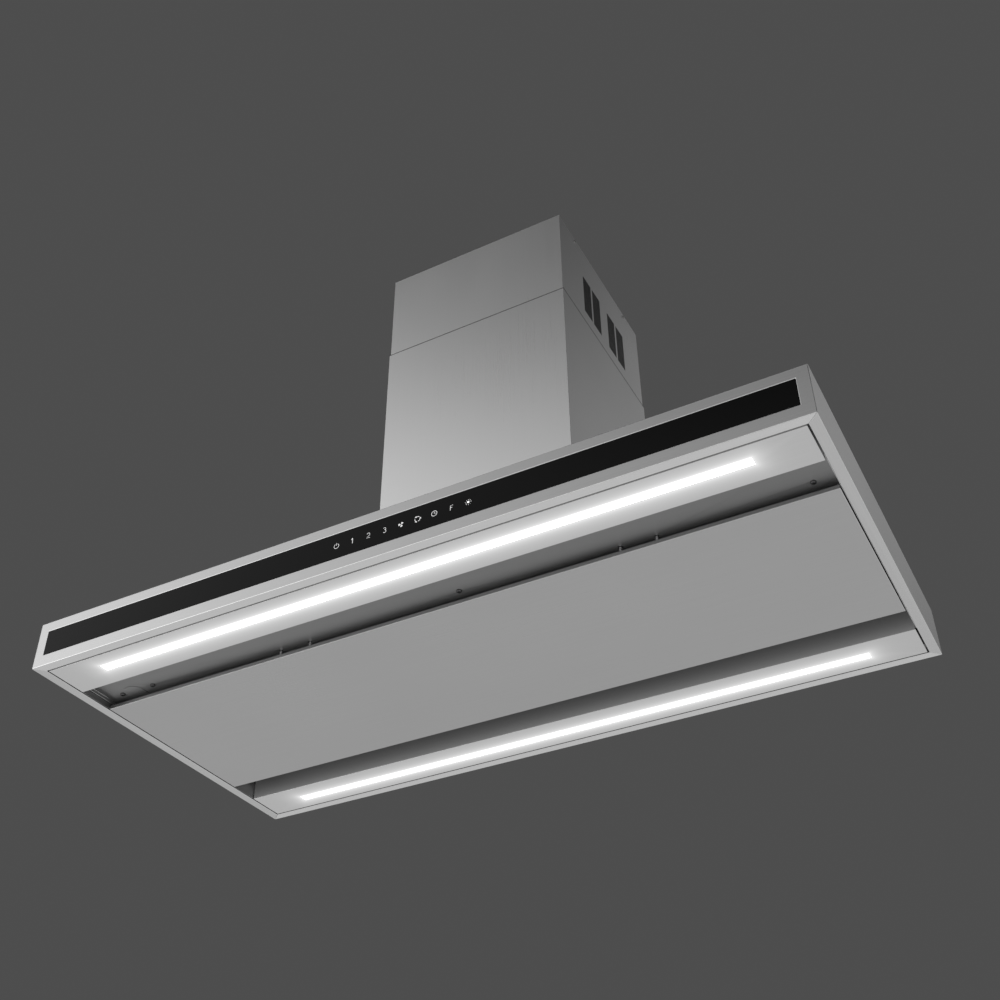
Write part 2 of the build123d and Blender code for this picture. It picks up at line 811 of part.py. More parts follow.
def motor_bracket():
    """Ring and three arms that carry the motor on the front cheek."""
    face = -fan_half_width
    ring = fan_rod(face - 2, face, inlet_radius + 8) - fan_rod(face - 3, face + 1, inlet_radius - 2)
    cup = fan_rod(face - 2, motor_far, 20) - fan_rod(face - 3, motor_far + 1, 8)
    arms = []
    for index in range(3):
        arm = Box(inlet_radius - 12, 10, 2, align=(Align.MIN, Align.CENTER, Align.MIN))
        arm = Rot(0, 0, index * 120 + 30) * (Pos(14, 0, 0) * arm)
        arms.append(Pos(fan_x, face, fan_z) * Rot(90, 0, 0) * arm)
    return ring.fuse(cup, *arms)


# ---- outlet spigot with non-return flaps ------------------------------------------------------
def outlet_spigot():
    """Round collar for the duct, with a foot flange and a ledge the flaps close on."""
    at = (flue_x, 0)
    tube = upright_disc(spigot_radius, (box_high, spigot_high), at)
    foot = upright_disc(spigot_radius + 12, (box_high, box_high + 1.5), at)
    bore = upright_disc(spigot_radius - spigot_wall, (box_high - 1, spigot_high + 1), at)
    ledge = upright_disc(spigot_radius - 1, (flap_z - 2, flap_z - 0.3), at)
    ledge -= upright_disc(spigot_radius - 4, (flap_z - 3, flap_z), at)
    collar = tube + foot - bore + ledge
    for sign in (-1, 1):
        x = flue_x + sign * flap_pin_x
        collar -= rod((x, -90, flap_z + 2), (x, 90, flap_z + 2), flap_pin_radius)
    return collar


def flap(sign):
    """Half-round flap with a knuckle along its straight edge."""
    at = (flue_x, 0)
    x = flue_x + sign * flap_pin_x
    z = flap_z + 2
    leaf = upright_disc(flap_radius, (flap_z, flap_z + 1.2), at)
    leaf &= slab(sorted((x, flue_x + sign * 100)), (-69, 69), (flap_z - 1, flap_z + 3))
    knuckle = rod((x, -60, z), (x, 60, z), 2.4)
    bore = rod((x, -75, z), (x, 75, z), flap_pin_radius + shaft_clearance)
    return leaf + knuckle - bore


def flap_pins():
    """Two cross pins fixed in the spigot's wall."""
    pins = []
    reach = spigot_radius - 0.5
    for sign in (-1, 1):
        x = flue_x + sign * flap_pin_x
        pins.append(rod((x, -reach, flap_z + 2), (x, reach, flap_z + 2), flap_pin_radius))
    return group(pins)


# ---- hanging frame and flues -------------------------------------------------------------------
def ceiling_plate():
    """Square steel plate screwed to the ceiling, open in the middle for the duct."""
    top = total_height
    at = (flue_x, 0)
    plate = centred(plate_half, plate_half, (top - plate_thickness, top), at)
    plate -= centred(plate_opening / 2, plate_opening / 2, (top - 9, top + 1), at)
    cable_x = flue_x + gland_x
    plate -= upright_disc(cable_notch, (top - 9, top + 1), (cable_x, gland_y))
    plate -= slab((flue_x - plate_half - 1, cable_x), (gland_y - cable_notch, gland_y + cable_notch),
                  (top - 9, top + 1))
    reach = ceiling_bolt_spacing / 2
    for x in (-reach, reach):
        for y in (-reach, reach):
            plate -= upright_disc(ceiling_bolt_radius, (top - 9, top + 1), (flue_x + x, y))
    for sx, sy in corners():
        outer = flue_x + sx * plate_half
        y = sy * flue_screw_y
        plate += slab(sorted((outer, outer - sx * 2)), (y - 12, y + 12), (top - 16, top))
        plate -= flue_screw_hole(sx, sy)
    return plate


def corner_angle(corner, z, sx, sy):
    """Upright steel angle whose outer corner stands at one corner of the frame."""
    x0 = flue_x + sx * corner
    y0 = sy * corner
    x1 = x0 - sx * upright_leg
    y1 = y0 - sy * upright_leg
    leg_x = slab(sorted((x0, x1)), sorted((y0, y0 - sy * upright_sheet)), z)
    leg_y = slab(sorted((x0, x0 - sx * upright_sheet)), sorted((y0, y1)), z)
    return leg_x + leg_y


def angle_holes(z_values):
    """Bolt holes through the X legs of the four angles."""
    holes = []
    for sx, sy in corners():
        x = flue_x + sx * (upright_corner - 11)
        for z in z_values:
            start = (x, sy * (upright_corner - 8), z)
            holes.append(rod(start, (x, sy * (upright_corner + 3), z), 3.2))
    return holes


def lower_uprights():
    """Four angles that stand on the body and carry it."""
    z = (stand_z, lower_upright_top)
    angles = []
    for sx, sy in corners():
        angle = corner_angle(upright_corner, z, sx, sy)
        for hole in angle_holes(bolt_heights()):
            angle -= hole
        angles.append(angle)
    return group(angles)


def upper_uprights():
    """Four angles that hang from the ceiling plate, inside the lower ones."""
    z = (upper_upright_low, total_height - plate_thickness)
    angles = []
    for sx, sy in corners():
        angle = corner_angle(upright_corner - upright_sheet - 0.1, z, sx, sy)
        for hole in angle_holes(bolt_heights()):
            angle -= hole
        angles.append(angle)
    return group(angles)


def bolt_heights():
    """Heights of the two rows of bolts where the uprights overlap."""
    return (lower_upright_top - 48, lower_upright_top - 14)


def frame_bolts():
    """Bolts with nuts that join upper and lower uprights."""
    bolts = []
    for sx, sy in corners():
        x = flue_x + sx * (upright_corner - 11)
        outer = sy * (upright_corner + 0.05)
        inner = sy * (upright_corner - 2 * upright_sheet - 0.15)
        for z in bolt_heights():
            shank = rod((x, outer, z), (x, inner - sy * 7, z), 3.0)
            head = rod((x, outer, z), (x, outer + sy * 2.2, z), 5.5)
            plane = Plane(origin=(x, inner, z), z_dir=(0, -sy, 0))
            nut = plane * extrude(RegularPolygon(5.6, 6), 5)
            bolts.append(shank + head + nut)
    return group(bolts)


def square_tube(width, z):
    """Thin square tube on the flue's axis."""
    half = width / 2
    at = (flue_x, 0)
    tube = centred(half, half, z, at)
    return tube - centred(half - flue_sheet, half - flue_sheet, (z[0] - 1, z[1] + 1), at)


def lower_flue():
    """Lower flue cover, standing on the body round the motor box."""
    return square_tube(lower_flue_width, (stand_z + 0.2, flue_joint_z))


def vent_slots():
    """Four columns of fine slots through both side walls of the upper flue."""
    slots = []
    half = upper_flue_width / 2 + 2
    for pair, column in corners():
        middle_y = vent_middle_y + pair * vent_pair_reach + column * vent_column_reach
        y = (middle_y - vent_length / 2, middle_y + vent_length / 2)
        for row in range(vent_rows):
            z = vent_middle_z + (row - (vent_rows - 1) / 2) * vent_pitch
            height = (z - vent_slot / 2, z + vent_slot / 2)
            slots.append(slab((flue_x - half, flue_x + half), y, height))
    return slots


def upper_flue():
    """Upper flue cover, fixed to the ceiling plate, telescoped into the lower one."""
    tube = square_tube(upper_flue_width, (flue_joint_z - flue_overlap, total_height))
    screw_holes = [flue_screw_hole(sx, sy) for sx, sy in corners()]
    return tube.cut(*vent_slots(), *screw_holes)


def flue_screw_hole(sx, sy):
    """Drill path of one screw through the upper flue's wall and the plate's lug."""
    y = sy * flue_screw_y
    inner = flue_x + sx * (plate_half - 9)
    outer = flue_x + sx * (plate_half + 9)
    return rod((inner, y, flue_screw_z), (outer, y, flue_screw_z), flue_screw_radius)


def flue_screws():
    """Screws through the upper flue into the folded lugs of the ceiling plate."""
    screws = []
    for sx, sy in corners():
        at = (flue_x + sx * upper_flue_width / 2, sy * flue_screw_y, flue_screw_z)
        screws.append(pan_screw(at, (sx, 0, 0), 7.0, 3.0, flue_screw_radius))
    return group(screws)


# ---- nodes --------------------------------------------------------------------------------------
nodes = {
    "front_fascia": front_fascia(),
    "rear_fascia": mitred_side("rear"),
    "left_end": mitred_side("left"),
    "right_end": mitred_side("right"),
    "top_cover": top_cover(),
    "corner_brackets": corner_brackets(),
    "body_rails": body_rails(),
    "control_glass": control_glass(),
    "glass_carrier": glass_carrier(),
    "touch_board": touch_board(),
    "inner_tray": inner_tray(),
    "filter_frame": filter_frame(),
    "filter_frame_screws": filter_frame_screws(),
    "bay_plate": bay_plate(),
    "front_light_panel": light_panel(-1),
    "rear_light_panel": light_panel(1),
    "front_diffuser": diffuser(-1),
    "rear_diffuser": diffuser(1),
    "led_profiles": led_profiles(),
    "led_boards": led_boards(),
    "led_driver": led_driver(),
    "suction_panel": suction_panel(),
    "panel_studs": panel_studs(),
    "catch_sockets": catch_sockets(),
    "hinge_brackets": hinge_brackets(),
    "hinge_pins": hinge_pins(),
    "hinge_leaves": hinge_leaves(),
    "left_filter_rim": filter_rim(-1),
    "right_filter_rim": filter_rim(1),
    "left_filter_mesh": filter_mesh(-1),
    "right_filter_mesh": filter_mesh(1),
    "left_filter_latch": filter_latch(-1),
    "right_filter_latch": filter_latch(1),
    "electronics_box": electronics_box(),
    "electronics_lid": electronics_lid(),
    "control_board": control_board(),
    "terminal_block": terminal_block(),
    "cable_gland": cable_gland(),
    "motor_box": motor_box(),
    "scroll_band": scroll_band(),
    "front_scroll_plate": scroll_plate(-1),
    "rear_scroll_plate": scroll_plate(1),
    "outlet_duct": outlet_duct(),
    "impeller": impeller(),
    "motor_shaft": motor_shaft(),
    "motor_rotor": motor_rotor(),
    "motor_stator": motor_stator(),
    "motor_bearings": motor_bearings(),
    "motor_bracket": motor_bracket(),
    "outlet_spigot": outlet_spigot(),
    "left_flap": flap(-1),
    "right_flap": flap(1),
    "flap_pins": flap_pins(),
    "ceiling_plate": ceiling_plate(),
    "upper_uprights": upper_uprights(),
    "lower_uprights": lower_uprights(),
    "frame_bolts": frame_bolts(),
    "lower_flue": lower_flue(),
    "upper_flue": upper_flue(),
    "flue_screws": flue_screws(),
}

os.makedirs("parts", exist_ok=True)
to_ceiling = Location((-flue_x, 0, -total_height))
for name, shape in nodes.items():
    export_step(shape.moved(to_ceiling), os.path.join("parts", name + ".step"))
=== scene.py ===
import json
import math

import bmesh
import bpy
from mathutils import Matrix, Vector


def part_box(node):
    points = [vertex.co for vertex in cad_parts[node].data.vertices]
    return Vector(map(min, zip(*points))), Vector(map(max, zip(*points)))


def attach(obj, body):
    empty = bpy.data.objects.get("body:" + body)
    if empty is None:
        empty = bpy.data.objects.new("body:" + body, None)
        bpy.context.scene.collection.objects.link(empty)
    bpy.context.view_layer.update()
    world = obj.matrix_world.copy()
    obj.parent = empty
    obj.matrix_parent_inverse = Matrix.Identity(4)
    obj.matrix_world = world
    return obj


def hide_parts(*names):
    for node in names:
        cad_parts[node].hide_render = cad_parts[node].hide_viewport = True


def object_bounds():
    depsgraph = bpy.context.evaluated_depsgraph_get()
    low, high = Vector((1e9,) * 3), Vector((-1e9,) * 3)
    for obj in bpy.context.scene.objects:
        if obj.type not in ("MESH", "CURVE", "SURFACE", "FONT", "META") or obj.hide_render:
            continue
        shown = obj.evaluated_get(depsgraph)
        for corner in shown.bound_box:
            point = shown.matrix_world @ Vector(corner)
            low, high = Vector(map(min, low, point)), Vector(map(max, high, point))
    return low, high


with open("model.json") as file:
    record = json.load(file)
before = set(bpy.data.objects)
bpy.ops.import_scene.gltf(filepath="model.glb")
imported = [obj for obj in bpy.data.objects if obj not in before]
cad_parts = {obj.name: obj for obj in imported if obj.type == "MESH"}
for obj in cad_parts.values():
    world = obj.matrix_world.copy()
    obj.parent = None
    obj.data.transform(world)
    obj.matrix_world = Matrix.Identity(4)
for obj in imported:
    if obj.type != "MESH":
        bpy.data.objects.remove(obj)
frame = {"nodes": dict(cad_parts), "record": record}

# Looks of an island range hood around its CAD frame. Lengths are in metres.
# The hood's body is the long flat box; its front face, with the glass, looks along -Y.

cad_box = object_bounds()
mm = 0.001

front_low, front_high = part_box("front_fascia")
rear_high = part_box("rear_fascia")[1]
glass_low, glass_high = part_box("control_glass")
body_middle_x = (front_low.x + front_high.x) / 2
body_middle_y = (front_low.y + rear_high.y) / 2
body_bottom = front_low.z
body_middle = Vector((body_middle_x, body_middle_y, body_bottom))


# ---- node helpers ------------------------------------------------------------------------------
class Graph:
    """Short calls for building one material's node tree."""

    def __init__(self, name):
        self.material = bpy.data.materials.new(name)
        self.material.use_nodes = True
        self.tree = self.material.node_tree
        self.shader = self.tree.nodes["Principled BSDF"]
        self.place = self.node("ShaderNodeTexCoord").outputs["Object"]

    def node(self, kind, **settings):
        made = self.tree.nodes.new(kind)
        for key, value in settings.items():
            setattr(made, key, value)
        return made

    def link(self, start, end):
        self.tree.links.new(start, end)

    def feed(self, socket, value):
        if isinstance(value, bpy.types.NodeSocket):
            self.link(value, socket)
        else:
            socket.default_value = value

    def math(self, operation, first, second=0.0, third=0.0):
        made = self.node("ShaderNodeMath", operation=operation)
        self.feed(made.inputs[0], first)
        self.feed(made.inputs[1], second)
        self.feed(made.inputs[2], third)
        return made.outputs[0]

    def axes(self):
        """The three coordinates of the shaded point."""
        made = self.node("ShaderNodeSeparateXYZ")
        self.link(self.place, made.inputs[0])
        return made.outputs

    def stretched(self, scale):
        made = self.node("ShaderNodeMapping")
        self.link(self.place, made.inputs["Vector"])
        made.inputs["Scale"].default_value = scale
        return made.outputs[0]

    def noise(self, scale, detail=3.0, rough=0.55):
        """Noise from 0 to 1; scale is one number or one per axis, in waves per metre."""
        if not hasattr(scale, "__len__"):
            scale = (scale, scale, scale)
        made = self.node("ShaderNodeTexNoise")
        self.link(self.stretched(scale), made.inputs["Vector"])
        made.inputs["Scale"].default_value = 1.0
        made.inputs["Detail"].default_value = detail
        made.inputs["Roughness"].default_value = rough
        return made.outputs["Fac"]

    def cells(self, scale, feature="F1"):
        made = self.node("ShaderNodeTexVoronoi", feature=feature)
        self.link(self.place, made.inputs["Vector"])
        made.inputs["Scale"].default_value = scale
        return made

    def ranged(self, value, low, high, start=0.3, end=0.7):
        made = self.node("ShaderNodeMapRange")
        self.link(value, made.inputs["Value"])
        made.inputs["From Min"].default_value = start
        made.inputs["From Max"].default_value = end
        made.inputs["To Min"].default_value = low
        made.inputs["To Max"].default_value = high
        return made.outputs[0]

    def tints(self, value, dark, light, start=0.3, end=0.7):
        """Colour that runs from dark to light as the value rises."""
        made = self.node("ShaderNodeValToRGB")
        made.color_ramp.elements[0].position = start
        made.color_ramp.elements[1].position = end
        made.color_ramp.elements[0].color = (*dark, 1)
        made.color_ramp.elements[1].color = (*light, 1)
        self.link(value, made.inputs["Fac"])
        return made.outputs["Color"]

    def bump(self, height, distance, strength=1.0):
        made = self.node("ShaderNodeBump")
        made.inputs["Distance"].default_value = distance
        made.inputs["Strength"].default_value = strength
        self.link(height, made.inputs["Height"])
        self.link(made.outputs["Normal"], self.shader.inputs["Normal"])

    def set(self, **values):
        names = {"colour": "Base Color", "roughness": "Roughness", "metallic": "Metallic",
                 "glow": "Emission Strength", "specular": "Specular IOR Level"}
        for key, value in values.items():
            self.feed(self.shader.inputs[names[key]], value)
        return self.material

    def scale_colour(self, factor):
        """Multiplies the colour that brushed() made by a value from the node tree."""
        made = self.node("ShaderNodeVectorMath", operation="SCALE")
        self.link(self.colour, made.inputs[0])
        self.link(factor, made.inputs["Scale"])
        self.set(colour=made.outputs[0])

    def glow_colour(self, red, green, blue):
        self.shader.inputs["Emission Color"].default_value = (red, green, blue, 1)


def grey(value):
    return (value, value, value)


# ---- materials ---------------------------------------------------------------------------------
# Waves per metre of the steel's grain, along it and across it.
GRAIN_LONG = 5.0
GRAIN_FINE = 1500.0
GRAIN_SWING = 0.035
GRAIN_RELIEF = 0.00004
SATIN_ROUGHNESS = 0.3
SATIN_SPREAD = 0.35
FLUE_SHADE = 0.78
FLUE_GRAIN = 0.3
FASCIA_SHADE = 0.57
# Painted light: how much lighter the flange under the long sides is drawn than their faces.
FLANGE_PAINTED_LIGHT = 1.7


def grain_scale(axis, fine=GRAIN_FINE):
    """Noise scale whose streaks run along one axis."""
    return tuple(GRAIN_LONG if index == axis else fine for index in range(3))


def brushed(name, axis, shade, roughness, spread=0.6, grain_depth=1.0):
    """Satin sheet steel: fine lengthwise grain that spreads highlights across it, faint clouding."""
    graph = Graph(name)
    grain = graph.noise(grain_scale(axis), 4.0, 0.6)
    coarse = graph.noise(grain_scale(axis, GRAIN_FINE / 4), 2.0, 0.5)
    cloud = graph.noise(3.2, 2.0, 0.5)
    mixed = graph.math("MULTIPLY_ADD", coarse, 0.15, graph.math("MULTIPLY", grain, 0.85))
    graph.set(metallic=1.0)
    swing = GRAIN_SWING * grain_depth
    graph.colour = graph.tints(mixed, grey(shade * (1 - swing)), grey(shade * (1 + swing)))
    graph.set(colour=graph.colour)
    base = graph.ranged(mixed, roughness - 0.02, roughness + 0.02)
    graph.set(roughness=graph.math("ADD", base, graph.ranged(cloud, -0.02, 0.02)))
    graph.bump(mixed, GRAIN_RELIEF, 0.2 * grain_depth)
    across = graph.node("ShaderNodeTangent", direction_type="RADIAL", axis="XYZ"[axis])
    graph.link(across.outputs["Tangent"], graph.shader.inputs["Tangent"])
    graph.shader.inputs["Anisotropic"].default_value = spread
    return graph


def satin_graph(name, axis, shade, grain_depth):
    return brushed(name, axis, shade, SATIN_ROUGHNESS, SATIN_SPREAD, grain_depth)


def satin_steel(name, axis, shade=FLUE_SHADE, grain_depth=1.0):
    return satin_graph(name, axis, shade, grain_depth).material


def fascia_steel():
    """Satin steel of the long sides, with painted light making the flange under them lighter."""
    graph = satin_graph("satin_steel_fascia_flange_painted_light", 0, FASCIA_SHADE, 1.3)
    # Painted light: the underside flange is lightened, standing in for the light of the strip beside
    # it.
    under = graph.math("LESS_THAN", graph.axes()[2], body_bottom + 1 * mm)
    graph.scale_colour(graph.ranged(under, 1.0, FLANGE_PAINTED_LIGHT, 0, 1))
    return graph.material


# The vent slots: four columns on each side of the upper flue, in two pairs.
VENT_BELOW_TOP = 108 * mm
VENT_MIDDLE_Y = 7 * mm
VENT_PAIR_REACH = 48.5 * mm
VENT_COLUMN_REACH = 18 * mm
VENT_HALF_LENGTH = 15.2 * mm
VENT_HALF_HEIGHT = 41 * mm
# Painted shade on the bars between the slots, against the steel round them: it stands in for the dark
# seen through the openings.
VENT_BAR_PAINTED_SHADE = 0.16


def vented_steel():
    """Flue steel whose thin bars between the vent slots are darkened with painted shade, for the dark
    seen through the openings.
    """
    graph = satin_graph("satin_steel_vented_painted_shade", 2, FLUE_SHADE, FLUE_GRAIN)
    _, along_y, along_z = graph.axes()
    low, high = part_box("upper_flue")
    across = graph.math("SUBTRACT", along_y, (low.y + high.y) / 2 + VENT_MIDDLE_Y)
    for reach in (VENT_PAIR_REACH, VENT_COLUMN_REACH):
        across = graph.math("SUBTRACT", graph.math("ABSOLUTE", across), reach)
    inside = graph.math("LESS_THAN", graph.math("ABSOLUTE", across), VENT_HALF_LENGTH)
    above = graph.math("SUBTRACT", along_z, high.z - VENT_BELOW_TOP)
    level = graph.math("LESS_THAN", graph.math("ABSOLUTE", above), VENT_HALF_HEIGHT)
    # Painted shade: the steel inside the vent windows is darkened.
    graph.scale_colour(graph.ranged(graph.math("MULTIPLY", inside, level), 1.0, VENT_BAR_PAINTED_SHADE, 0, 1))
    return graph.material


def tray_steel():
    """Plain sheet of the recess, duller than the outside."""
    graph = brushed("tray_steel_sheet", 0, 0.41, 0.36, 1.0)
    graph.set(metallic=0.75)
    return graph.material


def polished_edge_and_highlight():
    """Folded or deburred edge, where the grain is rubbed bright, and lighter than the sheet round it
    as a painted highlight along the fold.
    """
    graph = Graph("polished_edge_and_highlight")
    wear = graph.noise(180.0, 3.0)
    graph.set(metallic=1.0, colour=graph.tints(wear, grey(0.78), grey(0.92)))
    return graph.set(roughness=graph.ranged(wear, 0.16, 0.28))


# The halo round a light strip, painted on the sheet as glow: two widths and strengths, and a faint
# level all over.
HALO_NEAR = 2 * mm
HALO_WIDE = 13 * mm
HALO_NEAR_GLOW = 0.2
HALO_WIDE_GLOW = 0.38
HALO_BASE_GLOW = 0.13
FLAT_DEPTH = 0.9 * mm
# Painted light on the panel's walls: a glow fading up the wall from the flat face, and painted shade
# darkening the walls.
WALL_SPILL = 22 * mm
WALL_SPILL_GLOW = 0.14
WALL_PAINTED_SHADE = 0.4
PANEL_SHADE = 0.62


def lit_panel(name, strip_low, strip_high):
    """Satin sheet round a light strip, with the strip's soft halo painted on it as glow, and its walls
    darkened by painted shade and given a painted glow of spill.
    """
    graph = brushed(name, 0, PANEL_SHADE, 0.34)
    axes = graph.axes()
    gaps = []
    for axis in range(2):
        middle = (strip_low[axis] + strip_high[axis]) / 2
        half = (strip_high[axis] - strip_low[axis]) / 2
        from_middle = graph.math("ABSOLUTE", graph.math("SUBTRACT", axes[axis], middle))
        gaps.append(graph.math("MAXIMUM", graph.math("SUBTRACT", from_middle, half), 0.0))
    square = graph.math("MULTIPLY_ADD", gaps[0], gaps[0], graph.math("MULTIPLY", gaps[1], gaps[1]))
    distance = graph.math("SQRT", square)
    near = graph.math("EXPONENT", graph.math("DIVIDE", distance, -HALO_NEAR))
    wide = graph.math("EXPONENT", graph.math("DIVIDE", distance, -HALO_WIDE))
    spread = graph.math("MULTIPLY_ADD", wide, HALO_WIDE_GLOW, HALO_BASE_GLOW)
    halo = graph.math("MULTIPLY_ADD", near, HALO_NEAR_GLOW, spread)
    above = graph.math("SUBTRACT", axes[2], strip_low.z)
    flat = graph.math("LESS_THAN", above, FLAT_DEPTH)
    spill = graph.math("EXPONENT", graph.math("DIVIDE", above, -WALL_SPILL))
    spill = graph.math("MULTIPLY", spill, WALL_SPILL_GLOW)
    # Painted shade: the walls above the flat face are darkened.
    graph.scale_colour(graph.ranged(flat, WALL_PAINTED_SHADE, 1.0, 0, 1))
    graph.glow_colour(1, 1, 1)
    # Painted light: the halo glows on the flat face, the spill glows on the walls.
    on_wall = graph.math("MULTIPLY", spill, graph.math("SUBTRACT", 1.0, flat))
    graph.set(glow=graph.math("MULTIPLY_ADD", halo, flat, on_wall))
    return graph.material


def black_glass():
    """Back-painted glass, polished, with the faintest wipe marks."""
    graph = Graph("black_glass_strip")
    wipe = graph.noise((12.0, 60.0, 60.0), 3.0)
    dust = graph.noise(2200.0, 2.0)
    graph.set(colour=graph.tints(dust, grey(0.0015), grey(0.003)))
    graph.set(roughness=graph.ranged(wipe, 0.03, 0.07))
    graph.set(specular=0.1)
    graph.bump(graph.noise(9.0, 1.0), 0.0002, 0.05)
    return graph.material


DIODES = 24
STRIP_GLOW = 1.3
DIODE_SWING = 0.04


def opal():
    """Lit opal plastic of the light strips, a little brighter over each diode."""
    graph = Graph("opal_diffuser_lit")
    pitch = (front_strip_high.x - front_strip_low.x) / DIODES
    wave = graph.math("SINE", graph.math("MULTIPLY", graph.axes()[0], 2 * math.pi / pitch))
    milk = graph.noise(400.0, 2.0)
    graph.set(colour=graph.tints(milk, grey(0.86), grey(0.93)))
    graph.glow_colour(1.0, 1.0, 0.99)
    graph.set(roughness=graph.ranged(milk, 0.4, 0.5))
    graph.set(glow=graph.math("MULTIPLY_ADD", wave, DIODE_SWING, STRIP_GLOW))
    return graph.material


def symbol_light(name, strength):
    """Backlit paint of one touch symbol."""
    graph = Graph(name)
    grain = graph.noise(3000.0, 2.0)
    graph.set(colour=graph.tints(grain, grey(0.7), grey(0.85)), roughness=0.4)
    graph.glow_colour(1, 1, 1)
    graph.set(glow=graph.ranged(grain, strength * 0.9, strength * 1.1))
    return graph.material


def galvanised():
    """Zinc spangle on sheet."""
    graph = Graph("galvanised_sheet")
    spangle = graph.cells(85.0)
    sparkle = graph.node("ShaderNodeSeparateColor")
    graph.link(spangle.outputs["Color"], sparkle.inputs[0])
    flake = sparkle.outputs[0]
    graph.set(metallic=0.9, colour=graph.tints(flake, (0.4, 0.42, 0.44), (0.62, 0.64, 0.66), 0, 1))
    graph.set(roughness=graph.ranged(flake, 0.32, 0.52, 0, 1))
    graph.bump(graph.noise(220.0, 3.0), 0.0002, 0.2)
    return graph.material


def aluminium():
    """Mill aluminium with fine rolling lines and dull patches."""
    graph = Graph("mill_aluminium")
    roll = graph.noise(grain_scale(0, 900.0), 3.0)
    patch = graph.noise(24.0, 3.0)
    graph.set(metallic=1.0, colour=graph.tints(patch, grey(0.62), grey(0.76)))
    graph.set(roughness=graph.ranged(roll, 0.28, 0.44))
    graph.bump(roll, 0.00008, 0.3)
    return graph.material


def zinc_steel():
    """Bright zinc plating with small dull spots."""
    graph = Graph("zinc_plated_steel")
    spots = graph.noise(650.0, 4.0)
    graph.set(metallic=1.0, colour=graph.tints(spots, (0.5, 0.52, 0.54), (0.72, 0.73, 0.74)))
    graph.set(roughness=graph.ranged(spots, 0.2, 0.36))
    graph.bump(spots, 0.00005, 0.2)
    return graph.material


def dull_steel():
    """Blackened screws, worn lighter on the high spots."""
    graph = Graph("blackened_screws")
    worn = graph.noise(500.0, 3.0)
    graph.set(metallic=0.9, colour=graph.tints(worn, grey(0.1), grey(0.22)))
    graph.set(roughness=graph.ranged(worn, 0.3, 0.42))
    graph.bump(worn, 0.00005, 0.2)
    return graph.material


def moulded(name, dark, light):
    """Moulded plastic with a fine spark-eroded texture."""
    graph = Graph(name)
    erosion = graph.noise(1400.0, 3.0)
    haze = graph.noise(18.0, 2.0)
    graph.set(colour=graph.tints(haze, dark, light))
    graph.set(roughness=graph.ranged(erosion, 0.42, 0.6))
    graph.bump(erosion, 0.00008, 0.4)
    return graph.material


def circuit_board():
    """Green solder mask with copper runs showing through."""
    graph = Graph("circuit_board_mask")
    runs = graph.node("ShaderNodeTexBrick")
    graph.link(graph.place, runs.inputs["Vector"])
    runs.inputs["Scale"].default_value = 120.0
    runs.inputs["Mortar Size"].default_value = 0.06
    runs.inputs["Color1"].default_value = (0.012, 0.1, 0.045, 1)
    runs.inputs["Color2"].default_value = (0.014, 0.12, 0.05, 1)
    runs.inputs["Mortar"].default_value = (0.03, 0.2, 0.09, 1)
    graph.set(colour=runs.outputs["Color"])
    graph.set(roughness=graph.ranged(graph.noise(300.0), 0.25, 0.4))
    graph.bump(runs.outputs["Fac"], 0.00004, 0.4)
    return graph.material


def cast_motor():
    """Painted cast casing with an orange-peel skin."""
    graph = Graph("painted_casting")
    peel = graph.noise(420.0, 3.0)
    graph.set(metallic=0.3, colour=graph.tints(peel, grey(0.19), grey(0.27)))
    graph.set(roughness=graph.ranged(peel, 0.42, 0.58))
    graph.bump(peel, 0.0003, 0.4)
    return graph.material


def vent_screen_mesh():
    """Woven screen: small cells between fine threads, painted near-black as the shade seen through the
    vents, the cells darker still.
    """
    graph = Graph("woven_screen_painted_shade")
    weave = graph.cells(420.0, "DISTANCE_TO_EDGE")
    graph.set(colour=graph.tints(weave.outputs["Distance"], grey(0.016), grey(0.003), 0.05, 0.3))
    graph.set(roughness=graph.ranged(graph.noise(900.0), 0.7, 0.9), specular=0.04)
    graph.bump(weave.outputs["Distance"], 0.0001, 0.3)
    return graph.material


def lamination():
    """Edges of stacked steel plates, ringed along the fan's axis."""
    graph = Graph("stacked_laminations")
    plates = graph.node("ShaderNodeTexWave", bands_direction="Y")
    graph.link(graph.place, plates.inputs["Vector"])
    plates.inputs["Scale"].default_value = 300.0
    plates.inputs["Distortion"].default_value = 0.2
    graph.set(metallic=0.9, colour=graph.tints(plates.outputs["Fac"], grey(0.16), grey(0.4)))
    graph.set(roughness=graph.ranged(plates.outputs["Fac"], 0.35, 0.55))
    graph.bump(plates.outputs["Fac"], 0.0002, 0.4)
    return graph.material


# ---- mesh helpers ------------------------------------------------------------------------------
def piece(name, bm, material, body, replaces=()):
    """Finishes a bmesh as one piece of the hood."""
    bmesh.ops.recalc_face_normals(bm, faces=bm.faces)
    mesh = bpy.data.meshes.new(name)
    bm.to_mesh(mesh)
    bm.free()
    made = bpy.data.objects.new(name, mesh)
    bpy.context.scene.collection.objects.link(made)
    mesh.materials.append(material)
    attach(made, body)
    if replaces:
        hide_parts(*replaces)
    return made


def loft(bm, rings):
    """Skins closed rings of points in order, and caps both ends."""
    rows = [[bm.verts.new(point) for point in ring] for ring in rings]
    count = len(rows[0])
    for near, far in zip(rows, rows[1:]):
        for index in range(count):
            after = (index + 1) % count
            bm.faces.new((near[index], near[after], far[after], far[index]))
    bm.faces.new(rows[0])
    bm.faces.new(list(reversed(rows[-1])))


SHARP_ANGLE = 40.0


def smooth(made):
    """Soft shading with crisp edges past an angle."""
    for face in made.data.polygons:
        face.use_smooth = True
    for edge in made.data.edges:
        edge.use_edge_sharp = False
    made.data.set_sharp_from_angle(angle=math.radians(SHARP_ANGLE))


